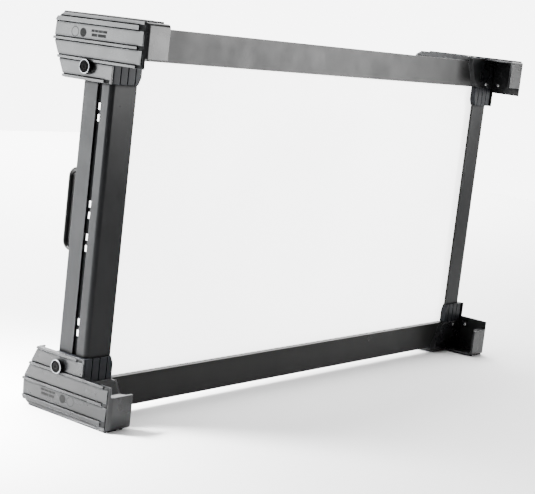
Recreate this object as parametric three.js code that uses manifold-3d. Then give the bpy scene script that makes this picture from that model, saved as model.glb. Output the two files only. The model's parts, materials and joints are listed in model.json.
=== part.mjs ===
// Barn door attachment: an open rectangular frame that clamps round the front of a panel lamp and
// carries a set of barn doors in the deep pockets of its four ribbed corner brackets.
// Millimetres, +Z up. The front, where the barn doors go, faces -Y. The origin is the middle of the base.
import * as THREE from "three";
import { mergeVertices } from "three/addons/utils/BufferGeometryUtils.js";
import Module from "manifold-3d";

const wasm = await Module();
wasm.setup();

// ---- Driving dimensions -------------------------------------------------------------------------
const FRAME_W = 1200; // over the outer faces of the side rails
const FRAME_H = 654; // over the outer edges of the top and bottom bars
const GAP = 0.3; // left between pieces that touch
const ARC_STEPS = 5; // facets in a rounded edge

// Side rail: an angle with a wide front flange and a deep web, grooved along its outer face.
const RAIL = { flange: 58, flangeT: 5, web: 66, webT: 6, round: 8, fillet: 3, endInset: 3 };
const GROOVE = { y0: 23, y1: 33.5, depth: 4.5 };
const LINER_T = 1; // black strip in the bottom of the groove
const WINDOW = { h: 11.5, pitch: 19, wallY: 1.2 }; // pairs of light slots through groove and strip
const WINDOW_PAIRS = [181, 18, -38, -183]; // heights of the pairs above the frame's middle

// Top and bottom bars: flat box tubes between the rails.
const BAR = { h: 56, d: 12, wall: 2, endGap: 2 }; // endGap: to the rails' flanges

// Corner bracket, in the corner's own frame: +x and +z outwards from the frame's outer corner.
const SHELL = {
  side: 11.5, // outer face of the side wall
  top: 9, // outer face of the top wall
  t: 3.5, // wall thickness
  front: -77, // outer face of the end wall
  shoulder: -7, // where the knob strip of the side wall starts
  hoodDepth: 66, // height of the side wall in front of the frame
  drop: 97, // height of the side wall beside the rail
  endW: 42, // reach of the end wall inwards from the corner
  endH: 49, // reach of the end wall down from the corner
  topFront: 98, // reach of the top wall inwards, at the frame's front face
  topRear: 118, // reach of the top wall inwards, at the rear
  rearTop: 117, // where the top wall turns down
  edge: 8.5, // radius of the front vertical edge
  brow: 6, // radius of the front top edge
};
const REAR_EDGE = [[128, 3], [133, -5], [135, -35], [121, -64], [104, -97]]; // rear outline: y, z
const REAR = Math.max(...REAR_EDGE.map(([y]) => y));
const LIP = { reach: 14, drop: 16, t: 4 }; // rear lip that keeps the lamp in
const RIB = { out: 3, flank: 0.4, grooveW: 1.6, grooveD: 1.6 }; // each rib has a groove along either flank
const SIDE_RIBS = [ // z, width and front end
  { at: -1.2, w: 7.2, from: -60 }, { at: -33.5, w: 4, from: -60 }, { at: -63.6, w: 4, from: -60 },
  { at: -94, w: 4, from: 7 },
];
const TOP_RIBS = [ // x, width and front end
  { at: -7, w: 20, from: -70 }, { at: -30, w: 4.4, from: -70 }, { at: -56, w: 4.4, from: 2 },
  { at: -80, w: 4.4, from: 2 },
];
const RIB_NOTCH = { slope: 9, long: 11, margin: 1.8, deep: 2.8 }; // sloping notch in front of each side rib
const CORNER_RIB = { inner: 5, from: -70 };
const RIM = { from: -1, t: 4, low: 0.6, high: 10 }; // upright rim along the top wall's slanted inner end
const PLATE = { t: 6, gap: 0.5, reachTop: 102, reachLow: 78, drop: 56, slope: 9 };
const CHEEK = { y0: 14.6, t: 3.5, x0: -61, x1: -98, drop: 50 };
const SHELF = { reach: 24, taper: 7, depth: 14, t: 3 }; // turned-in lip along the end wall's free edge

// Collar: the sleeve that slides on the rail.
const COLLAR = { front: -4.5, reach: 61.7, back: 8, outerBack: 64, clear: 0.4, wall: 3.5, round: 6.5 };
const COLLAR_CUT = { x: 6.5, z: 15, groove: 2.2, grooves: [-13, -30, -47.5] };

// Diffuser: a white sheet across the frame, held between the bars and the brackets' cheeks.
const DIFFUSER = { x: 589.7, z: 320, t: 2 }; // x, z: half its width and height

// Lock knob, on an axis along X through the knob strip.
const KNOB = { y: 48, z: -74, r: 12.4, len: 5.8, recessR: 9.6, recess: 1.2, sides: 24 };
const STUD = { r: 4, sides: 16, intoKnob: 3.6 };
const BUSH = { r: 5.4, bore: 4.4, flangeR: 7, flangeT: 1.5 };
const WASHER = { r: 7, bore: 4.6, t: 1.5 };

// Handle on the back of the left rail.
const HANDLE = { x: 24, z0: -63, z1: 82, grip: [10, 16], rise: 32, bend: 13, foot: 6 };
const HANDLE_PLATE = { t: 3, reach: 33, web: 22.5, z0: -84, z1: 103 };

const SCREW = { headR: 3.3, headT: 1.5, shankR: 1.9, sides: 12 };
const PLATE_SCREW = { at: [-26, -48], shank: 5.2 }; // x, z on the front plate
const WALL_SCREW = { at: [-20, -48], shank: 2.9 }; // y, z on the side wall's inner face
const BAR_SCREWS = [[-68, 6], [-92, 6]]; // x, y through the top wall into the bar
const BAR_SCREW_SHANK = 13;

// ---- Materials ----------------------------------------------------------------------------------
const paint = (color, roughness, metalness) =>
  new THREE.MeshStandardMaterial({ color, roughness, metalness });
const ANODISED = paint(0x303033, 0.35, 0.6);
const CAST = paint(0x3a3c3f, 0.42, 0.3);
const PLASTIC = paint(0x1b1c1e, 0.5, 0);
const RUBBER = paint(0x0d0d0e, 0.8, 0);
const STEEL = paint(0x8f9296, 0.3, 1);
const OPAL = paint(0xf4f4f4, 0.5, 0);

// ---- Solids -------------------------------------------------------------------------------------
function solidOf(geometry) {
  const bare = geometry.index ? geometry.toNonIndexed() : geometry.clone();
  bare.deleteAttribute("normal");
  bare.deleteAttribute("uv");
  const merged = mergeVertices(bare, 1e-4);
  return new wasm.Manifold(
    new wasm.Mesh({
      numProp: 3,
      vertProperties: merged.attributes.position.array,
      triVerts: new Uint32Array(merged.index.array),
    }),
  );
}

function geometryOf(solid) {
  const mesh = solid.getMesh();
  const geometry = new THREE.BufferGeometry();
  const points = new Float32Array(mesh.numVert * 3);
  for (let i = 0; i < mesh.numVert; i++) {
    points.set(mesh.vertProperties.subarray(i * mesh.numProp, i * mesh.numProp + 3), i * 3);
  }
  geometry.setAttribute("position", new THREE.BufferAttribute(points, 3));
  geometry.setIndex(new THREE.BufferAttribute(new Uint32Array(mesh.triVerts), 1));
  return geometry;
}

const union = (solids) => solids.reduce((all, one) => all.add(one));
const cut = (solid, tools) => tools.reduce((left, tool) => left.subtract(tool), solid);

function box([x0, x1], [y0, y1], [z0, z1]) {
  const g = new THREE.BoxGeometry(Math.abs(x1 - x0), Math.abs(y1 - y0), Math.abs(z1 - z0));
  g.translate((x0 + x1) / 2, (y0 + y1) / 2, (z0 + z1) / 2);
  return solidOf(g);
}

function outline(points) {
  return new THREE.Shape(points.map(([u, v]) => new THREE.Vector2(u, v)));
}

const X = new THREE.Vector3(1, 0, 0);
const Y = new THREE.Vector3(0, 1, 0);
const Z = new THREE.Vector3(0, 0, 1);

// A prism with its outline in the plane across an axis: (y, z) along X, (x, z) along Y, (x, y) along Z.
function prism(axis, points, from, to) {
  const g = new THREE.ExtrudeGeometry(outline(points), { depth: to - from, bevelEnabled: false });
  const m = new THREE.Matrix4();
  if (axis === "x") m.makeBasis(Y, Z, X).setPosition(from, 0, 0);
  if (axis === "y") m.makeBasis(X, Z, Y.clone().negate()).setPosition(0, to, 0);
  if (axis === "z") m.makeBasis(X, Y, Z).setPosition(0, 0, from);
  return solidOf(g.applyMatrix4(m));
}

// A solid between two outlines in (x, z), one at each of two depths along Y.
function loft(near, y0, far, y1) {
  const n = near.length;
  const points = [...near.map(([x, z]) => [x, y0, z]), ...far.map(([x, z]) => [x, y1, z])].flat();
  const cap = THREE.ShapeUtils.triangulateShape(near.map(([x, z]) => new THREE.Vector2(x, z)), []);
  const faces = cap.flatMap(([a, b, c]) => [a, b, c, n + a, n + c, n + b]);
  for (let i = 0; i < n; i++) {
    const j = (i + 1) % n;
    faces.push(i, n + i, j, j, n + i, n + j);
  }
  const g = new THREE.BufferGeometry();
  g.setAttribute("position", new THREE.BufferAttribute(new Float32Array(points), 3));
  g.setIndex(faces);
  return solidOf(g);
}

// Points of a quarter round from one tangent point to the other, about a centre.
function quarter([cx, cy], r, fromAngle) {
  return Array.from({ length: ARC_STEPS + 1 }, (_, i) => {
    const a = fromAngle + ((Math.PI / 2) * i) / ARC_STEPS;
    return [cx + r * Math.cos(a), cy + r * Math.sin(a)];
  });
}

// A turned piece about an axis through (a, b): its profile is a closed list of (radius, distance).
function turned(axis, [a, b], profile, sides) {
  const g = new THREE.LatheGeometry(profile.map(([r, d]) => new THREE.Vector2(r, d)), sides);
  const m = new THREE.Matrix4();
  if (axis === "x") m.makeBasis(Y, X, Z.clone().negate()).setPosition(0, a, b);
  if (axis === "y") m.setPosition(a, 0, b);
  if (axis === "z") m.makeBasis(X, Z, Y.clone().negate()).setPosition(a, b, 0);
  return solidOf(g.applyMatrix4(m));
}

function rod(axis, at, r, from, to, sides) {
  return turned(axis, at, [[0, from], [r, from], [r, to], [0, to]], sides);
}

function ring(axis, at, bore, r, from, to, sides) {
  return turned(axis, at, [[bore, from], [r, from], [r, to], [bore, to], [bore, from]], sides);
}

const part = new THREE.Group();

function add(parent, name, solid, material) {
  const mesh = new THREE.Mesh(solid.isBufferGeometry ? solid : geometryOf(solid), material);
  mesh.name = name;
  parent.add(mesh);
  return mesh;
}

// ---- Corner pieces, made once in the corner's frame and mirrored to the four corners -------------
const inside = { x: SHELL.side - SHELL.t, z: SHELL.top - SHELL.t };
const plateFace = -PLATE.gap - PLATE.t;
const ribTip = SHELL.top + RIB.out;

function sideOutline(top) {
  return [
    [SHELL.front, top], [SHELL.rearTop, top], ...REAR_EDGE,
    [SHELL.shoulder, -SHELL.drop], [SHELL.shoulder, -SHELL.hoodDepth], [SHELL.front, -SHELL.hoodDepth],
  ];
}

function topWall() {
  return prism("z", [
    [inside.x, SHELL.front], [inside.x, SHELL.rearTop], [-SHELL.topRear, SHELL.rearTop],
    [-SHELL.topFront, plateFace], [-SHELL.endW, plateFace], [-SHELL.endW, SHELL.front],
  ], inside.z, SHELL.top);
}

// The end wall, with a lip turned in along its free edge.
function endWall() {
  const back = SHELL.front + SHELL.t + 1;
  const wall = box([-SHELL.endW, SHELL.side], [SHELL.front, back], [-SHELL.endH, SHELL.top]);
  const shelf = prism("z", [
    [inside.x + 1, back - 1], [inside.x + 1, SHELL.front + SHELF.depth],
    [-SHELF.reach, SHELL.front + SHELF.depth], [-SHELF.reach - SHELF.taper, back - 1],
  ], -SHELL.endH, -SHELL.endH + SHELF.t);
  return wall.add(shelf);
}

// The plate that lies over the ends of the bar and the rail. Its inner edge slants and slopes.
function frontPlate() {
  const face = (inset) => [
    [inside.x + 1, inside.z + 1], [-PLATE.reachTop + inset, inside.z + 1], [-PLATE.reachTop + inset, -6],
    [-PLATE.reachLow + inset, -PLATE.drop + 4], [-COLLAR.reach + inset / 3, -PLATE.drop],
    [inside.x + 1, -PLATE.drop],
  ];
  return loft(face(PLATE.slope), plateFace, face(0), -PLATE.gap);
}

function cheek() {
  return prism("y", [
    [CHEEK.x0, inside.z + 1], [CHEEK.x1, inside.z + 1], [CHEEK.x1, -8],
    [CHEEK.x1 + 22, -CHEEK.drop], [CHEEK.x0, -CHEEK.drop],
  ], CHEEK.y0, CHEEK.y0 + CHEEK.t);
}

function rearLips() {
  const outer = [[SHELL.rearTop, SHELL.top], ...REAR_EDGE];
  const inner = outer.map(([y, z]) => [y - LIP.t, z]).reverse();
  const side = prism("x", [...outer, ...inner], SHELL.side - LIP.reach, SHELL.side);
  const [[y1, z1], [y2, z2]] = REAR_EDGE;
  const top = prism("x", [
    [SHELL.rearTop - 4, SHELL.top], [SHELL.rearTop, SHELL.top], [y1, z1], [y2, z2], [y2 + 0.7, -LIP.drop],
    [y2 - LIP.t + 0.7, -LIP.drop], [y2 - LIP.t, z2], [y1 - LIP.t, z1 - 1], [SHELL.rearTop - 4, inside.z],
  ], -SHELL.topRear, SHELL.side);
  return [side, top];
}

// Ribs along Y. Side ribs stand out in x, top ribs in z.
function ribSection(at, w, face) {
  const [base, tip] = [w / 2 + RIB.flank, w / 2];
  const half = [[base, face - 1], [base, face], [tip, face + RIB.out]];
  const both = [...half, ...half.map(([across, out]) => [-across, out]).reverse()];
  return both.map(([across, out]) => [at + across, out]);
}

function sideRibs() {
  const within = prism("x", sideOutline(SHELL.top), 0, SHELL.side + RIB.out + 1);
  return SIDE_RIBS.map(({ at, w, from }) => {
    const section = ribSection(at, w, SHELL.side).map(([across, out]) => [out, across]);
    return prism("y", section, from, REAR + 1).intersect(within);
  });
}

function topRibs() {
  return TOP_RIBS.map(({ at, w, from }) => prism("y", ribSection(at, w, SHELL.top), from, SHELL.rearTop));
}

function ribGrooves() {
  const spans = ({ at, w }) => [-1, 1].map((s) => {
    const mid = at + s * (w / 2 + RIB.flank + RIB.grooveW / 2);
    return [mid - RIB.grooveW / 2, mid + RIB.grooveW / 2];
  });
  return [
    ...SIDE_RIBS.flatMap((rib) => spans(rib).map((span) =>
      box([SHELL.side - RIB.grooveD, SHELL.side + 5], [rib.from - 1, REAR + 5], span))),
    ...TOP_RIBS.flatMap((rib) => spans(rib).map((span) =>
      box(span, [rib.from - 1, SHELL.rearTop + 5], [SHELL.top - RIB.grooveD, SHELL.top + 5]))),
  ];
}

function ribNotches() {
  const { slope, long, margin, deep } = RIB_NOTCH;
  const out = SHELL.side + 5;
  return SIDE_RIBS.map(({ at, w, from }) => prism("z", [
    [out, from], [SHELL.side, from], [SHELL.side - deep, from - slope], [SHELL.side - deep, from - long],
    [out, from - long],
  ], at - w / 2 - margin, at + w / 2 + margin));
}

function cornerRib() {
  const [x, z] = [SHELL.side, ribTip];
  return prism("y", [
    [x, 5], [x, z - 2.5], [x - 1.5, z], [CORNER_RIB.inner + 1, z], [CORNER_RIB.inner, SHELL.top],
    [CORNER_RIB.inner, inside.z], [inside.x, inside.z], [inside.x, 5],
  ], CORNER_RIB.from, SHELL.rearTop);
}

function rim() {
  const slope = (SHELL.topRear - SHELL.topFront) / (SHELL.rearTop - plateFace);
  const edgeAt = (y) => -SHELL.topFront - slope * (y - plateFace);
  return prism("z", [
    [edgeAt(RIM.from), RIM.from], [edgeAt(SHELL.rearTop), SHELL.rearTop],
    [edgeAt(SHELL.rearTop) + RIM.t, SHELL.rearTop], [edgeAt(RIM.from) + RIM.t, RIM.from],
  ], RIM.low, RIM.high);
}

// Everything in front is trimmed to a rounded vertical edge and a rounded top edge.
function roundedFront() {
  const far = 200;
  const { front, side, edge, top, brow } = SHELL;
  const plan = prism("z", [
    ...quarter([side - edge, front + edge], edge, -Math.PI / 2), [side, CORNER_RIB.from - 1],
    [far, CORNER_RIB.from - 1], [far, far], [-far, far], [-far, front],
  ], -far, far);
  const profile = prism("x", [
    ...quarter([front + brow, top - brow], brow, Math.PI / 2), [front, -far], [far, -far], [far, far],
    [CORNER_RIB.from - 1, far], [CORNER_RIB.from - 1, top],
  ], -far, far);
  return plan.intersect(profile);
}

function shell() {
  const walls = union([
    prism("x", sideOutline(SHELL.top), inside.x, SHELL.side),
    topWall(), endWall(), frontPlate(), cheek(), ...rearLips(), cornerRib(), rim(),
  ]);
  const grooved = cut(walls, [...ribGrooves(), ...ribNotches()]);
  const body = union([grooved, ...sideRibs(), ...topRibs()]).intersect(roundedFront());
  const hole = SCREW.shankR + GAP;
  return cut(body, [
    rod("x", [KNOB.y, KNOB.z], BUSH.r + GAP, inside.x - 2, SHELL.side + 5, STUD.sides),
    rod("y", PLATE_SCREW.at, hole, plateFace - 1, 0, SCREW.sides),
    rod("x", WALL_SCREW.at, hole, inside.x - 1, inside.x + WALL_SCREW.shank + GAP, SCREW.sides),
    ...BAR_SCREWS.map((place) => rod("z", place, hole, inside.z - 1, SHELL.top + 1, SCREW.sides)),
  ]);
}

// The sleeve round the rail, with a key that runs in the rail's groove.
function collar() {
  const { clear: c, reach, back, wall, outerBack, front, round } = COLLAR;
  const low = -SHELL.drop + GAP;
  const high = -PLATE.drop - GAP;
  const outer = inside.x - GAP;
  const innerWeb = -RAIL.webT - c - wall;
  const sleeve = prism("z", [
    ...quarter([outer - round, front + round], round, -Math.PI / 2), [outer, outerBack],
    [innerWeb, outerBack], [innerWeb, back], [-reach, back], [-reach, front],
  ], low, high);
  const railHole = prism("z", [
    ...quarter([-RAIL.round, RAIL.round], RAIL.round + c, -Math.PI / 2), [c, outerBack + 1],
    [-RAIL.webT - c, outerBack + 1], [-RAIL.webT - c, RAIL.flangeT + RAIL.fillet + c],
    [-RAIL.webT - RAIL.fillet - c, RAIL.flangeT + c], [-RAIL.flange - c, RAIL.flangeT + c],
    [-RAIL.flange - c, -c],
  ], low - 1, high + 1);
  const corner = prism("y", [
    [-reach - 1, low - 1], [-reach + COLLAR_CUT.x, low - 1], [-reach - 1, low + COLLAR_CUT.z],
  ], front - 1, back + 1);
  const grooves = COLLAR_CUT.grooves.map((x) => box(
    [x - COLLAR_CUT.groove / 2, x + COLLAR_CUT.groove / 2], [front - 1, front + COLLAR_CUT.groove],
    [low - 1, high + 1],
  ));
  const bushHole = rod("x", [KNOB.y, KNOB.z], BUSH.r + GAP, 0, outer + 1, STUD.sides);
  const key = box([c + 1, -GROOVE.depth + LINER_T + c], [GROOVE.y0 + 1, GROOVE.y1 - 1], [low, high]);
  return cut(sleeve, [railHole, corner, bushHole, ...grooves]).add(key);
}

const at = [KNOB.y, KNOB.z];
const bushFace = SHELL.side + GAP + BUSH.flangeT;
const washerFace = bushFace + GAP + WASHER.t;
const knobBase = washerFace + GAP;
const knobFace = knobBase + KNOB.len;

function bush() {
  const start = COLLAR.clear + 0.6;
  return turned("x", at, [
    [BUSH.bore, start], [BUSH.r, start], [BUSH.r, SHELL.side + GAP], [BUSH.flangeR, SHELL.side + GAP],
    [BUSH.flangeR, bushFace], [BUSH.bore, bushFace], [BUSH.bore, start],
  ], STUD.sides);
}

function knob() {
  const bore = STUD.r + 0.5;
  const boreEnd = knobBase + STUD.intoKnob;
  return turned("x", at, [
    [bore, knobBase], [KNOB.r - 1.5, knobBase], [KNOB.r, knobBase + 1.5], [KNOB.r, knobFace - 1.2],
    [KNOB.r - 1.2, knobFace], [KNOB.recessR, knobFace], [KNOB.recessR - 0.6, knobFace - KNOB.recess],
    [0, knobFace - KNOB.recess], [0, boreEnd + GAP], [bore, boreEnd + GAP], [bore, knobBase],
  ], KNOB.sides);
}

function screw(axis, place, face, direction, shank) {
  const head = face + direction * (GAP + SCREW.headT);
  const under = face + direction * GAP;
  const tip = face - direction * shank;
  const profile = [[0, tip], [SCREW.shankR, tip], [SCREW.shankR, under], [SCREW.headR, under],
    [SCREW.headR, head - direction * 0.5], [SCREW.headR - 0.8, head], [0, head]];
  return turned(axis, place, direction > 0 ? profile : profile.reverse(), SCREW.sides);
}

const CORNERS = [
  ["top_left", -1, 1], ["top_right", 1, 1], ["bottom_left", -1, -1], ["bottom_right", 1, -1],
];
const cornerPieces = [
  ["corner_bracket", geometryOf(shell()), CAST],
  ["rail_collar", geometryOf(collar()), PLASTIC],
  ["lock_bush", geometryOf(bush()), STEEL],
  ["lock_washer", geometryOf(
    ring("x", at, WASHER.bore, WASHER.r, bushFace + GAP, washerFace, KNOB.sides)), STEEL],
  ["lock_knob", geometryOf(knob()), PLASTIC],
  ["lock_stud", geometryOf(rod("x", at, STUD.r, GAP, knobBase + STUD.intoKnob, STUD.sides)), STEEL],
  ["plate_screw", geometryOf(screw("y", PLATE_SCREW.at, plateFace, -1, PLATE_SCREW.shank)), STEEL],
  ["wall_screw", geometryOf(screw("x", WALL_SCREW.at, inside.x, -1, WALL_SCREW.shank)), STEEL],
  ...BAR_SCREWS.map((place, i) => [
    `bar_screw_${i + 1}`, geometryOf(screw("z", place, SHELL.top, 1, BAR_SCREW_SHANK)), STEEL]),
];

const middle = new THREE.Group();
middle.position.y = -(SHELL.front + REAR) / 2; // the origin is midway between front and rear
middle.position.z = FRAME_H / 2 + ribTip; // the ribs under the bottom brackets stand on z = 0
part.add(middle);

for (const [corner, sx, sz] of CORNERS) {
  const group = new THREE.Group();
  group.position.set((sx * FRAME_W) / 2, 0, (sz * FRAME_H) / 2);
  group.scale.set(sx, 1, sz);
  middle.add(group);
  for (const [piece, geometry, material] of cornerPieces) {
    add(group, `${piece}_${corner}`, geometry, material);
  }
}

// ---- Side rails and their groove strips, made for the right side and mirrored to the left --------
function windows(x0, x1, wall) {
  return WINDOW_PAIRS.flatMap((z) => [-1, 1].map((s) => {
    const mid = z + (s * WINDOW.pitch) / 2;
    return box([x0, x1], [GROOVE.y0 + wall, GROOVE.y1 - wall], [mid - WINDOW.h / 2, mid + WINDOW.h / 2]);
  }));
}

function rail() {
  const end = FRAME_H / 2 - RAIL.endInset;
  const plan = [
    ...quarter([-RAIL.round, RAIL.round], RAIL.round, -Math.PI / 2),
    [0, GROOVE.y0], [-GROOVE.depth, GROOVE.y0], [-GROOVE.depth, GROOVE.y1], [0, GROOVE.y1],
    [0, RAIL.web - 1], [-1, RAIL.web], [-RAIL.webT + 1, RAIL.web], [-RAIL.webT, RAIL.web - 1],
    [-RAIL.webT, RAIL.flangeT + RAIL.fillet], [-RAIL.webT - RAIL.fillet, RAIL.flangeT],
    [-RAIL.flange, RAIL.flangeT], [-RAIL.flange, 0],
  ];
  return cut(prism("z", plan, -end, end), windows(-RAIL.webT - 1, 1, WINDOW.wallY));
}

function liner() {
  const end = FRAME_H / 2 - SHELL.drop - 2;
  const strip = box(
    [-GROOVE.depth + GAP / 2, -GROOVE.depth + LINER_T], [GROOVE.y0 + GAP, GROOVE.y1 - GAP], [-end, end]);
  return cut(strip, windows(-GROOVE.depth - 1, 1, WINDOW.wallY + 0.5));
}

for (const [side, sx] of [["left", -1], ["right", 1]]) {
  const group = new THREE.Group();
  group.position.x = (sx * FRAME_W) / 2;
  group.scale.x = sx;
  middle.add(group);
  add(group, `${side}_side_rail`, rail(), ANODISED);
  add(group, `${side}_groove_strip`, liner(), RUBBER);
}

// ---- Top and bottom bars --------------------------------------------------------------------------
const barEnd = FRAME_W / 2 - RAIL.flange - BAR.endGap;

function bar() {
  const h = BAR.h / 2;
  const tube = prism("x", [[0, -h], [BAR.d, -h], [BAR.d, h], [0, h]], -barEnd, barEnd);
  const bore = box([-barEnd - 1, barEnd + 1], [BAR.wall, BAR.d - BAR.wall], [-h + BAR.wall, h - BAR.wall]);
  const holes = [-1, 1].flatMap((sx) => BAR_SCREWS.map(([x, y]) =>
    rod("z", [sx * (FRAME_W / 2 + x), y], SCREW.shankR + GAP, h - BAR.wall - 1, h + 1, SCREW.sides)));
  return cut(tube, [bore, ...holes]);
}

for (const [place, sz] of [["top", 1], ["bottom", -1]]) {
  const group = new THREE.Group();
  group.position.z = sz * (FRAME_H / 2 - BAR.h / 2);
  group.scale.z = sz;
  middle.add(group);
  add(group, `${place}_bar`, bar(), ANODISED);
}

// ---- Diffuser sheet --------------------------------------------------------------------------------
function diffuser() {
  const { x, z, t } = DIFFUSER;
  const clip = 12;
  const sheet = [
    [-x + clip, -z], [x - clip, -z], [x, -z + clip], [x, z - clip],
    [x - clip, z], [-x + clip, z], [-x, z - clip], [-x, -z + clip],
  ];
  return prism("y", sheet, BAR.d + GAP, BAR.d + GAP + t);
}

add(middle, "diffuser", diffuser(), OPAL);

// ---- Carry handle behind the left rail ------------------------------------------------------------
const handleFace = RAIL.web + GAP + HANDLE_PLATE.t; // outer face of the plate that the handle stands on

function handlePlate() {
  const { t, reach, web, z0, z1 } = HANDLE_PLATE;
  const x0 = RAIL.webT + GAP;
  const plan = [
    [x0, RAIL.web - web], [x0 + t, RAIL.web - web], [x0 + t, RAIL.web + GAP], [reach, RAIL.web + GAP],
    [reach, handleFace], [x0, handleFace],
  ];
  const feet = [z0, z1].map((z) => z + Math.sign(-z) * 14);
  return cut(prism("z", plan, z0, z1), feet.map((z) =>
    rod("x", [RAIL.web - web / 2, z], SCREW.shankR + GAP, x0 - 1, x0 + t + 1, SCREW.sides)));
}

// An oval bar bent into a U, standing on two square feet.
function handle() {
  const { x, z0, z1, grip, rise, bend, foot } = HANDLE;
  const outer = (w, r) => {
    const s = new THREE.Shape();
    const y0 = handleFace + GAP + foot - 1;
    const y1 = handleFace + rise - w;
    const a = z0 + w;
    const b = z1 - w;
    s.moveTo(y0, a);
    s.lineTo(y1 - r, a);
    s.quadraticCurveTo(y1, a, y1, a + r);
    s.lineTo(y1, b - r);
    s.quadraticCurveTo(y1, b, y1 - r, b);
    s.lineTo(y0, b);
    s.closePath();
    return s;
  };
  const solidFrom = (shape, depth, from) => {
    const g = new THREE.ExtrudeGeometry(shape, { depth, bevelEnabled: false, curveSegments: 5 });
    return solidOf(g.applyMatrix4(new THREE.Matrix4().makeBasis(Y, Z, X).setPosition(from, 0, 0)));
  };
  const edge = 4;
  const slab = solidFrom(outer(0, bend), grip[1] - 2 * edge, x - grip[1] / 2 + edge);
  const core = solidFrom(outer(edge * 0.8, bend - edge * 0.6), grip[1], x - grip[1] / 2);
  const gap = solidFrom(outer(grip[0], 5), grip[1] + 2, x - grip[1] / 2 - 1);
  const open = gap.translate(0, -3, 0).add(gap);
  const feet = [z0, z1 - grip[0]].map((z) =>
    box([x - grip[1] / 2, x + grip[1] / 2], [handleFace + GAP, handleFace + GAP + foot], [z, z + grip[0]]));
  return union([cut(slab.add(core), [open]), ...feet]);
}

const handleGroup = new THREE.Group();
handleGroup.position.x = -FRAME_W / 2;
middle.add(handleGroup);
add(handleGroup, "handle_plate", handlePlate(), ANODISED);
add(handleGroup, "carry_handle", handle(), PLASTIC);
[HANDLE_PLATE.z0 + 14, HANDLE_PLATE.z1 - 14].forEach((z, i) => {
  const place = [RAIL.web - HANDLE_PLATE.web / 2, z];
  const face = RAIL.webT + GAP + HANDLE_PLATE.t;
  const tip = RAIL.webT + GAP + 0.2;
  const profile = [
    [0, tip], [SCREW.shankR, tip], [SCREW.shankR, face + GAP], [SCREW.headR, face + GAP],
    [SCREW.headR, face + 1.8], [SCREW.headR - 0.8, face + 2.3], [0, face + 2.3],
  ];
  add(handleGroup, `handle_screw_${i + 1}`, turned("x", place, profile, SCREW.sides), STEEL);
});

export default part;
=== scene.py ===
"""Barn door attachment: the clamp frame for a panel lamp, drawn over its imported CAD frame.

Lengths are in metres. +X is right seen from the front, the front faces -Y, +Z is up.
"""

import json
import math

import bmesh
import bpy
from mathutils import Matrix, Vector


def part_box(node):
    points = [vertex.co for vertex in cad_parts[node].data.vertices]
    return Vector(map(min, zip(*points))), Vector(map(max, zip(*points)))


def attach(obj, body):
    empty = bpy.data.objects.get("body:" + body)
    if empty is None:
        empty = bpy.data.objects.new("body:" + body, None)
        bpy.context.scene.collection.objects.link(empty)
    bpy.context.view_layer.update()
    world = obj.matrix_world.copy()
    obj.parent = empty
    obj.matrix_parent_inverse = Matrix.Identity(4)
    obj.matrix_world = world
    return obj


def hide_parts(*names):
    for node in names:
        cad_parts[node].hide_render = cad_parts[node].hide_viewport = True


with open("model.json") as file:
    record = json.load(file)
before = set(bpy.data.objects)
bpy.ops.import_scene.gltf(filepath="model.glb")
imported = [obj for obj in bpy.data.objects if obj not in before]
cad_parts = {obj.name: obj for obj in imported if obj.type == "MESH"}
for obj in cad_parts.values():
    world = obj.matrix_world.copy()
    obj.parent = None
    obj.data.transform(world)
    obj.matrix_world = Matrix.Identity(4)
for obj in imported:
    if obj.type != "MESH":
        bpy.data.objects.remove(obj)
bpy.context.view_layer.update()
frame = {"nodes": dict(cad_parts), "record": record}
nodes = frame["nodes"]
body_of_node = {n: body for body, names in frame["record"]["behaviour"]["bodies"].items() for n in names}
slot_of_node = {entry["node"]: entry["material_slot"] for entry in frame["record"]["subparts"]}

CORNERS = [("top_left", -1, 1), ("top_right", 1, 1), ("bottom_left", -1, -1), ("bottom_right", 1, -1)]
MM = 0.001
PAINTED_SHADE_REACH = 6 * MM  # how far the painted shade reaches round a hollow
EDGE_HIGHLIGHT_WIDTH = 1.3 * MM  # reach of the painted edge highlight and wear from an edge
BRACKET_EDGE = 0.35 * MM  # radius of the moulded brackets' edges
EDGE = 0.4 * MM  # radius of the other pieces' edges
THREAD_PITCH = 1.25  # of the lock studs, in mm
GRIP = {"radius": 12.35, "flutes": 24, "flute": 0.5, "rim_from": 10.5, "rim_out": 2.1}  # lock knob, in mm
HANDLE_BEND = 13 * MM
HANDLE_HALF_THICKNESS = 5 * MM
HANDLE_FOOT = 6 * MM
RIB_OUT = 3 * MM  # how far a bracket's ribs stand out of its side wall
LABEL_IN = 32 * MM  # from a bracket's top to the middle of its label
LABEL_START = {1: 163, -1: 92}  # from a bracket's front to the ring on an upper and a lower one, in mm
LABEL_ROWS = (  # height, half thickness and the ends of the bars in mm from the middle of the ring
    (4.6, 2, (38, 45, 46, 53, 54, 64, 65, 74)),
    (-2.2, 2.4, (39, 52, 53.5, 72)),
)
PRINT_FACES = (-0.2, 0.1)  # inner and outer face of the print, in mm out of the wall
COOL = (0.94, 0.98, 1.04)
NEUTRAL = (1, 1, 1)
DAYLIGHT = (0.97, 0.99, 1)


# ---- Camera, light and floor ---------------------------------------------------------------------
CAMERA_AT = Vector((-2.2495, -1.6739, 0.6898))
CAMERA_HEADING = math.radians(52.004)  # to the right of straight ahead
CAMERA_PITCH = math.radians(-8.779)
CAMERA_ROLL = math.radians(6.66)
CAMERA_LENS = 95.415


def add_camera():
    data = bpy.data.cameras.new("camera")
    data.lens = CAMERA_LENS
    data.sensor_width = 36
    data.clip_end = 60
    camera = bpy.data.objects.new("camera", data)
    bpy.context.scene.collection.objects.link(camera)
    turn = (
        Matrix.Rotation(-CAMERA_HEADING, 4, "Z")
        @ Matrix.Rotation(math.pi / 2 + CAMERA_PITCH, 4, "X")
        @ Matrix.Rotation(CAMERA_ROLL, 4, "Z")
    )
    camera.matrix_world = Matrix.Translation(CAMERA_AT) @ turn
    bpy.context.scene.camera = camera


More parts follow.
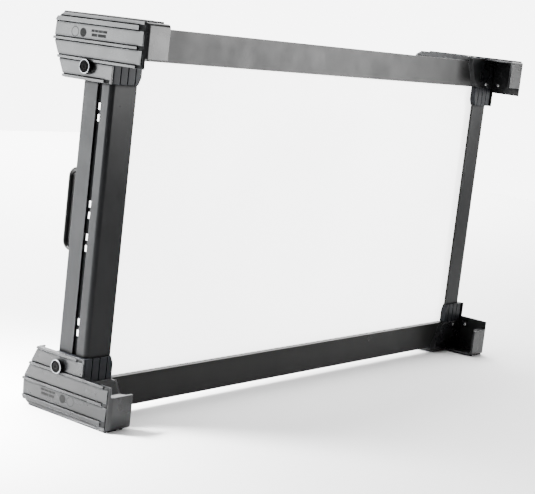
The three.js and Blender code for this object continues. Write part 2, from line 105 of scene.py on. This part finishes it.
def add_area(name, at, aim, size, power, colour=NEUTRAL, spread=180):
    """A soft rectangular light. The spread of its beam is in degrees."""
    data = bpy.data.lights.new(name, "AREA")
    data.shape = "RECTANGLE"
    data.size, data.size_y = size
    data.energy = power
    data.color = colour
    data.spread = math.radians(spread)
    light = bpy.data.objects.new(name, data)
    light.location = at
    light.rotation_euler = (Vector(aim) - Vector(at)).to_track_quat("-Z", "Y").to_euler()
    bpy.context.scene.collection.objects.link(light)


BRIGHT_SIDE = Vector((0.77, 0.62, 0.12)).normalized()  # the white half of the studio
SKY = (0.1, 7)  # strength on the dark and on the white side
SKY_EDGE = (0.35, 0.9)  # cosines to the white side, where the sky starts to get bright and where it is full


def add_world():
    world = bpy.data.worlds.new("studio")
    world.use_nodes = True
    tree = world.node_tree
    place = tree.nodes.new("ShaderNodeTexCoord")
    dot = tree.nodes.new("ShaderNodeVectorMath")
    dot.operation = "DOT_PRODUCT"
    dot.inputs[1].default_value = BRIGHT_SIDE
    ramp = tree.nodes.new("ShaderNodeMapRange")
    ramp.interpolation_type = "SMOOTHSTEP"
    for key, number in zip(("From Min", "From Max", "To Min", "To Max"), (*SKY_EDGE, *SKY)):
        ramp.inputs[key].default_value = number
    background = tree.nodes["Background"]
    background.inputs["Color"].default_value = (1, 1, 1, 1)
    tree.links.new(place.outputs["Generated"], dot.inputs[0])
    tree.links.new(dot.outputs["Value"], ramp.inputs["Value"])
    tree.links.new(ramp.outputs[0], background.inputs["Strength"])
    bpy.context.scene.world = world


def add_floor():
    mesh = bpy.data.meshes.new("floor")
    near, far = 4, 14  # from the middle to its edges. On the white side they are near, lost in the white
    corners = [(-far, -far, 0), (near, -far, 0), (near, near, 0), (-far, near, 0)]
    mesh.from_pydata(corners, [], [(0, 1, 2, 3)])
    floor = bpy.data.objects.new("floor", mesh)
    bpy.context.scene.collection.objects.link(floor)
    material = bpy.data.materials.new("floor")
    material.use_nodes = True
    shader = material.node_tree.nodes["Principled BSDF"]
    shader.inputs["Base Color"].default_value = (0.85, 0.85, 0.85, 1)
    shader.inputs["Roughness"].default_value = 0.8
    mesh.materials.append(material)


def add_studio():
    add_world()
    add_floor()
    add_area("left_softbox", (-1.85, 1.2, 0.6), (-0.6, 0, 0.35), (0.9, 1.4), power=135, colour=DAYLIGHT)
    add_area("right_softbox", (1.28, -1.43, 0.76), (-0.2, 0, 0.82), (1.35, 0.7), power=16, spread=75)
    add_area("rear_softbox", (1.9, 3.6, 3.0), (1.9, 3.6, 0), (7, 5.6), power=1300, spread=120)
    add_area("floor_softbox", (-1.5, 1.0, 1.3), (-0.9, 0.3, 0), (0.5, 0.5), power=40, spread=45)


# ---- Materials -----------------------------------------------------------------------------------
class Nodes:
    """A material's node tree with short calls for the few kinds of node that the finishes use."""

    def __init__(self, name):
        self.material = bpy.data.materials.new(name)
        self.material.use_nodes = True
        self.tree = self.material.node_tree
        self.shader = self.tree.nodes["Principled BSDF"]
        self.place = self.new("ShaderNodeTexCoord").outputs["Object"]

    def new(self, kind, **inputs):
        node = self.tree.nodes.new(kind)
        for key, value in inputs.items():
            self.put(node.inputs[key.replace("_", " ")], value)
        return node

    def put(self, socket, value):
        if isinstance(value, bpy.types.NodeSocket):
            self.tree.links.new(value, socket)
        else:
            socket.default_value = value

    def noise(self, scale, detail=2, stretch=(1, 1, 1)):
        mapping = self.new("ShaderNodeMapping", Vector=self.place, Scale=stretch)
        noise = self.new("ShaderNodeTexNoise", Vector=mapping.outputs[0], Scale=scale, Detail=detail)
        return noise.outputs["Fac"]

    def span(self, value, low, high, to_low, to_high):
        node = self.new("ShaderNodeMapRange", Value=value)
        for key, number in zip(("From Min", "From Max", "To Min", "To Max"), (low, high, to_low, to_high)):
            node.inputs[key].default_value = number
        return node.outputs[0]

    def mix(self, factor, first, second):
        node = self.tree.nodes.new("ShaderNodeMix")
        node.data_type = "RGBA"
        self.put(node.inputs[0], factor)
        self.put(node.inputs[6], first)
        self.put(node.inputs[7], second)
        return node.outputs[2]

    def math(self, operation, first, second):
        node = self.tree.nodes.new("ShaderNodeMath")
        node.operation = operation
        node.use_clamp = True
        self.put(node.inputs[0], first)
        self.put(node.inputs[1], second)
        return node.outputs[0]

    def edges(self, radius):
        """1 on edges and corners, 0 on flat faces."""
        bevel = self.new("ShaderNodeBevel", Radius=radius)
        bevel.samples = 4
        geometry = self.new("ShaderNodeNewGeometry")
        dot = self.tree.nodes.new("ShaderNodeVectorMath")
        dot.operation = "DOT_PRODUCT"
        self.put(dot.inputs[0], bevel.outputs[0])
        self.put(dot.inputs[1], geometry.outputs["Normal"])
        return self.span(dot.outputs["Value"], 0.995, 0.9, 0, 1)

    def hollow_shade(self, reach):
        """1 on open faces, 0 deep in grooves and corners, which get painted shade."""
        node = self.new("ShaderNodeAmbientOcclusion", Distance=reach)
        node.samples = 4
        return self.span(node.outputs["AO"], 0.45, 0.92, 0, 1)

    def bump(self, height, distance, strength=1.0):
        node = self.new("ShaderNodeBump", Height=height, Distance=distance, Strength=strength)
        self.put(self.shader.inputs["Normal"], node.outputs[0])


def rgb(grey, tint=(1, 1, 1)):
    return (grey * tint[0], grey * tint[1], grey * tint[2], 1)


def finish(
    name, grey, tint, rough, grain, along=(1, 1, 1), metallic=0.0, highlight_and_wear=0.12, specular=0.5, bands=0.0
):
    """A coat with mottled and banded colour, patchy gloss, a fine grain, edges lightened as painted
    highlight and as wear, and hollows painted black as shade.

    grey, the edge highlight-and-wear value and bands are the albedo of the coat, of its edges (a painted
    highlight that also reads as wear) and of what its bands add to it.
    grain is the scale of the fine surface noise, which along stretches.
    """
    n = Nodes(name)
    # painted shade: grooves, corners and joints between parts are darkened to black
    outside_painted_shade = n.hollow_shade(PAINTED_SHADE_REACH)
    mottle = n.noise(9, 4)
    fine = n.noise(grain, 2, along)
    # painted highlight: edges and corners are lightened, broken up by noise so that it also reads as patchy
    # wear
    highlight_and_wear_mask = n.math("MULTIPLY", n.edges(EDGE_HIGHLIGHT_WIDTH), n.span(n.noise(45, 3), 0.3, 0.65, 0.1, 0.9))
    coat = n.mix(n.span(mottle, 0.3, 0.7, 0, 1), rgb(grey * 0.8, tint), rgb(grey * 1.25, tint))
    coat = n.mix(n.span(n.noise(16, 3, (1, 1, 0.15)), 0.4, 0.65, 0, 1), coat, rgb(grey + bands, tint))
    n.put(n.shader.inputs["Base Color"], n.mix(outside_painted_shade, rgb(0.001), n.mix(highlight_and_wear_mask, coat, rgb(highlight_and_wear, tint))))
    gloss = n.span(n.noise(22, 4), 0.25, 0.75, rough - 0.06, rough + 0.07)
    # in the painted shade the coat is also made rough and metallic over a black base, so its reflection
    # goes dark too
    n.put(n.shader.inputs["Roughness"], n.mix(outside_painted_shade, rgb(0.95), gloss))
    n.put(n.shader.inputs["Metallic"], n.span(outside_painted_shade, 0, 1, 1, metallic))
    n.shader.inputs["Specular IOR Level"].default_value = specular
    n.bump(fine, 0.0001, 0.4)
    return n.material


def opal(name):
    """A white sheet that lets the lamp's light through, a little unevenly."""
    n = Nodes(name)
    cloud = n.span(n.noise(3, 3), 0.3, 0.7, 0, 1)
    n.put(n.shader.inputs["Base Color"], n.mix(cloud, rgb(0.9), rgb(0.94)))
    n.put(n.shader.inputs["Roughness"], n.span(n.noise(40, 2), 0.3, 0.7, 0.4, 0.5))
    n.put(n.shader.inputs["Emission Color"], rgb(1.0))
    n.put(n.shader.inputs["Emission Strength"], n.span(cloud, 0, 1, 3.4, 3.8))
    return n.material


ALONG_Z = (1, 1, 0.02)
ALONG_X = (0.02, 1, 1)
BLUE_BLACK = (0.85, 0.95, 1.15)
BRASS = (1, 0.75, 0.4)

# The wear values also set how much the edges are lightened as painted highlight.
FINISH = {
    "rail": finish("anodised_rail", 0.007, COOL, 0.33, 900, ALONG_Z, highlight_and_wear=0.06, specular=0.07),
    "bar": finish("anodised_bar", 0.007, NEUTRAL, 0.33, 900, ALONG_X, highlight_and_wear=0.06, specular=0.09),
    "bracket_black": finish("moulded_bracket", 0.004, COOL, 0.27, 1600, specular=0.18, bands=0.004),
    "collar_black": finish("moulded_collar", 0.01, BLUE_BLACK, 0.36, 1600, highlight_and_wear=0.06, specular=0.06),
    "knob_black": finish("moulded_knob", 0.003, NEUTRAL, 0.8, 1200, highlight_and_wear=0.02, specular=0.02),
    "handle_black": finish("moulded_handle", 0.003, NEUTRAL, 0.2, 1400, highlight_and_wear=0.02, specular=0.08),
    "strip_black": finish("groove_strip", 0.003, COOL, 0.9, 1400, highlight_and_wear=0.006, specular=0.02),
    "brass": finish("turned_brass", 0.5, BRASS, 0.3, 1400, metallic=1.0, highlight_and_wear=0.6),
    "steel": finish("zinc_steel", 0.5, NEUTRAL, 0.28, 1400, metallic=1.0, highlight_and_wear=0.6),
    "opal_white": opal("opal_sheet"),
}
PRINT = finish("dull_print", 0.006, NEUTRAL, 0.7, 1800, highlight_and_wear=0.02, specular=0.06)
WORN_RIM = finish("worn_rim", 0.16, COOL, 0.25, 1400, metallic=0.4, highlight_and_wear=0.3, specular=0.6)


def finish_of(node):
    slot = slot_of_node[node]
    if slot == "anodised_black":
        return FINISH["bar" if node.endswith("_bar") else "rail"]
    return FINISH[slot]


# ---- Pieces that stand for CAD nodes --------------------------------------------------------------
def stand_in(name, mesh, node):
    """Puts a mesh in the scene in the place of a CAD node."""
    piece = bpy.data.objects.new(name, mesh)
    bpy.context.scene.collection.objects.link(piece)
    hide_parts(node)
    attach(piece, body_of_node[node])
    return piece


def cleaned(mesh):
    """The CAD solid as one welded mesh with its flat faces whole."""
    bm = bmesh.new()
    bm.from_mesh(mesh)
    bmesh.ops.remove_doubles(bm, verts=bm.verts, dist=2e-6)
    bmesh.ops.dissolve_limit(bm, angle_limit=math.radians(0.6), verts=bm.verts, edges=bm.edges)
    out = bpy.data.meshes.new(mesh.name + "_shape")
    bm.to_mesh(out)
    bm.free()
    out.materials.clear()
    for polygon in out.polygons:
        polygon.use_smooth = True
        polygon.material_index = 0
    return out


def softened(node, radius, segments=2, angle=30):
    """A copy of a CAD node with its edges rounded off."""
    mesh = cleaned(nodes[node].data)
    mesh.materials.append(finish_of(node))
    piece = stand_in(node + "_shape", mesh, node)
    bevel = piece.modifiers.new("edges", "BEVEL")
    bevel.width = radius
    bevel.segments = segments
    bevel.limit_method = "ANGLE"
    bevel.angle_limit = math.radians(angle)
    bevel.use_clamp_overlap = False
    weighted = piece.modifiers.new("normals", "WEIGHTED_NORMAL")
    weighted.keep_sharp = True
    return piece


def skinned(name, rings, material, sharp=35, loop=False):
    """A closed mesh through rings of points, all with the same number of points. Both ends are capped,
    unless the rings close on themselves in a loop."""
    count = len(rings[0])
    points = [point for ring in rings for point in ring]
    faces = []
    for r in range(len(rings) if loop else len(rings) - 1):
        here, there = r * count, (r + 1) % len(rings) * count
        for i in range(count):
            j = (i + 1) % count
            faces.append((here + i, here + j, there + j, there + i))
    if not loop:
        faces.append(tuple(reversed(range(count))))
        faces.append(tuple(range((len(rings) - 1) * count, len(rings) * count)))
    mesh = bpy.data.meshes.new(name)
    mesh.from_pydata(points, [], faces)
    bm = bmesh.new()
    bm.from_mesh(mesh)
    bmesh.ops.recalc_face_normals(bm, faces=bm.faces)
    bm.to_mesh(mesh)
    bm.free()
    mesh.materials.append(material)
    for polygon in mesh.polygons:
        polygon.use_smooth = True
    mesh.set_sharp_from_angle(angle=math.radians(sharp))
    return mesh


def hexagon(flats):
    """Radius of a hexagon at each angle, for a socket with this size across its flats."""
    return lambda a: flats / 2 / math.cos((a + math.pi / 6) % (math.pi / 3) - math.pi / 6)


def turned(node, axis, sign, profile, sides=48, sharp=35):
    """A turned piece in a CAD node's box. The profile starts at the end of the box that sign points away
    from: pairs of (distance along the axis, radius in mm or a radius for each angle)."""
    low, high = (Vector(v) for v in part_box(node))
    middle = (low + high) / 2
    along = "xyz".index(axis)
    u, v = (along + 1) % 3, (along + 2) % 3
    start = low[along] if sign > 0 else high[along]
    rings = []
    for distance, radius in profile:
        ring = []
        for i in range(sides):
            a = 2 * math.pi * i / sides
            r = radius(a) if callable(radius) else radius
            point = [0, 0, 0]
            point[along] = start + sign * distance * MM
            point[u] = middle[u] + r * MM * math.cos(a)
            point[v] = middle[v] + r * MM * math.sin(a)
            ring.append(point)
        rings.append(ring)
    mesh = skinned(node + "_shape", rings, finish_of(node), sharp)
    return stand_in(node + "_shape", mesh, node)


def add_knob(corner, sx):
    """A round grip with a fluted rim and a dished face with a bright turned edge."""

    def grip(a):
        return GRIP["radius"] - GRIP["flute"] * (0.5 - 0.5 * math.cos(GRIP["flutes"] * a)) ** 2

    profile = [
        (0.05, 8.5), (0.05, 11.2), (0.5, 11.9), (1.0, grip), (4.6, grip), (4.95, 12.1),
        (5.45, 11.85), (5.75, 11.2), (5.75, 10.6), (5.45, 10.15), (4.75, 9.8), (4.55, 9.3), (4.5, 5.2),
        (4.9, 4.8), (4.95, 3.6), (4.6, 3.3), (4.55, 0.8),
    ]
    piece = turned(f"lock_knob_{corner}", "x", sx, profile, 144, 50)
    piece.data.materials.append(WORN_RIM)
    low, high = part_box(f"lock_knob_{corner}")
    middle = (Vector(low) + Vector(high)) / 2
    for polygon in piece.data.polygons:
        out = polygon.center - middle
        if math.hypot(out.y, out.z) > GRIP["rim_from"] * MM and sx * out.x > GRIP["rim_out"] * MM:
            polygon.material_index = 1


def add_lock(corner, sx):
    """A lock knob with its threaded stud and its washer."""
    add_knob(corner, sx)
    thread = [(0.3, 3.2)]
    for k in range(12):
        thread += [(0.9 + THREAD_PITCH * k, 3.95), (1.5 + THREAD_PITCH * k, 3.45)]
    thread += [(16.2, 3.9), (18.0, 3.9), (18.4, 3.4)]
    turned(f"lock_stud_{corner}", "x", sx, thread, 40, 60)
    turned(f"lock_washer_{corner}", "x", sx, washer_profile(), 64)


def washer_profile():
    return [
        (0.1, 4.7), (0.0, 4.9), (0.0, 6.7), (0.25, 6.95), (1.25, 6.95), (1.5, 6.7), (1.5, 4.9), (1.4, 4.7),
    ]


def add_screw(node, axis, sign, shank):
    """A low round head with a hexagon socket, on a shank."""
    profile = [
        (0.05, 0.9), (0.6, 1.8), (shank - 0.3, 1.8), (shank, 1.9), (shank + 0.02, 3.0), (shank + 0.15, 3.2),
        (shank + 0.8, 3.25), (shank + 1.25, 2.9), (shank + 1.48, 2.3), (shank + 1.48, 1.6),
        (shank + 1.35, hexagon(2.5)), (shank + 0.5, hexagon(2.5)), (shank + 0.4, 0.6),
    ]
    turned(node, axis, sign, profile, 48, 40)


def add_handle():
    """A rounded bar bent into a U, standing on two feet."""
    node = "carry_handle"
    low, high = (Vector(v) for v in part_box(node))
    wide, thick, bend, steps = (high.x - low.x) / 2, HANDLE_HALF_THICKNESS, HANDLE_BEND, 10
    x = (low.x + high.x) / 2
    a, b, c = low.z + thick, high.z - thick, high.y - thick
    foot_from, foot_to = low.y + 0.1 * MM, low.y + HANDLE_FOOT
    path = [(foot_from, a, 0.0), (foot_to, a, 0.0)]
    for i in range(steps + 1):
        t = math.pi / 2 * i / steps
        path.append((c - bend + bend * math.sin(t), a + bend - bend * math.cos(t), t))
    for i in range(steps + 1):
        t = math.pi / 2 + math.pi / 2 * i / steps
        path.append((c - bend + bend * math.sin(t), b - bend - bend * math.cos(t), t))
    path += [(foot_to, b, math.pi), (foot_from, b, math.pi)]
    rings = []
    for index, (y, z, t) in enumerate(path):
        foot = index < 2 or index >= len(path) - 2
        power = 0.3 if foot else 0.95  # 1 makes a round section, a small one is nearly square
        ring = []
        for i in range(32):
            angle = 2 * math.pi * i / 32
            cos, sin = math.cos(angle), math.sin(angle)
            across = math.copysign(abs(cos) ** power, cos) * wide
            out = math.copysign(abs(sin) ** power, sin) * thick
            ring.append((x + across, y + out * math.sin(t), z - out * math.cos(t)))
        rings.append(ring)
    mesh = skinned(node + "_shape", rings, finish_of(node), 60)
    stand_in(node + "_shape", mesh, node)


def add_print(corner, sx, sz):
    """A blank label printed between two ribs of a bracket's side wall: a ring, a disc and rows of bars."""
    low, high = (Vector(v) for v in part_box(f"corner_bracket_{corner}"))
    face = (high.x - RIB_OUT) if sx > 0 else (low.x + RIB_OUT)
    middle = (high.z - LABEL_IN) if sz > 0 else (low.z + LABEL_IN)
    start = low.y + LABEL_START[sz] * MM
    inner, outer = PRINT_FACES

    def at(y, z, out):
        return (face + sx * out * MM, start - sz * y * MM, middle + z * MM)

    def put(name, rings, loop=False):
        piece = bpy.data.objects.new(f"{name}_{corner}", skinned(name, rings, PRINT, 35, loop))
        bpy.context.scene.collection.objects.link(piece)
        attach(piece, body_of_node[f"corner_bracket_{corner}"])

    turn = [(math.cos(i * math.pi / 24), math.sin(i * math.pi / 24)) for i in range(48)]
    section = [(7.6, inner), (8.6, inner), (8.6, outer), (7.6, outer)]
    put("print_ring", [[at(r * c, r * s, out) for r, out in section] for c, s in turn], loop=True)
    put("print_disc", [[at(19 + 7.5 * c, 7.5 * s, out) for c, s in turn] for out in PRINT_FACES])
    for z, half, cuts in LABEL_ROWS:
        for y0, y1 in zip(cuts[::2], cuts[1::2]):
            corners = ((y0, z - half), (y1, z - half), (y1, z + half), (y0, z + half))
            put("print_bar", [[at(y, w, out) for y, w in corners] for out in PRINT_FACES])


add_camera()
add_studio()

for name in nodes:
    nodes[name].data.materials.clear()
    nodes[name].data.materials.append(finish_of(name))

for corner, sx, sz in CORNERS:
    softened(f"corner_bracket_{corner}", BRACKET_EDGE)
    softened(f"rail_collar_{corner}", EDGE)
    add_lock(corner, sx)
    add_screw(f"plate_screw_{corner}", "y", -1, 5.5)
    add_screw(f"wall_screw_{corner}", "x", -sx, 3.2)
    for number in (1, 2):
        add_screw(f"bar_screw_{number}_{corner}", "z", sz, 13.3)
    add_print(corner, sx, sz)
for name in ("left_side_rail", "right_side_rail", "top_bar", "bottom_bar", "handle_plate"):
    softened(name, EDGE)
add_handle()
